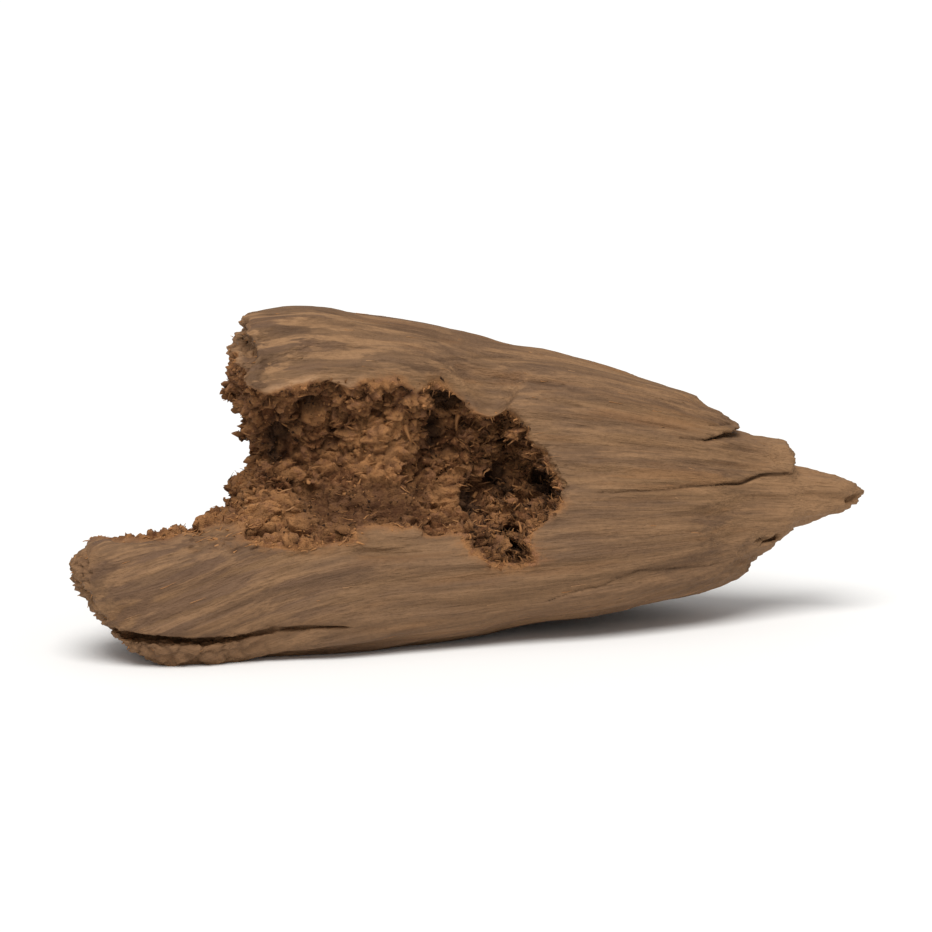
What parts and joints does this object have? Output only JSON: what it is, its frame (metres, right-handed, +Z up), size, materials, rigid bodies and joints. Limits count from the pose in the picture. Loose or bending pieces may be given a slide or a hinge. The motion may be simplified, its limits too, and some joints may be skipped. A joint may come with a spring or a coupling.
{
  "type": "agarwood piece",
  "caption": "Loose chunk of old agarwood with a rotted hollow in its broad face, a blunt broken end and a splintered tip, lying on a flat worn base.",
  "frame": {"origin": "middle of the piece's bounding box seen from above, at the height of the worn base", "axes": "+X along the grain towards the splintered tip, -Y towards the broad face with the hollow, +Z up"},
  "size_m": [0.0724, 0.0286, 0.0287],
  "materials": {
    "agarwood": "matte, weathered grain, with crumbling rot in the hollow"
  },
  "bodies": {
    "root": {"agarwood_piece": "agarwood"}
  },
  "joints": []
}
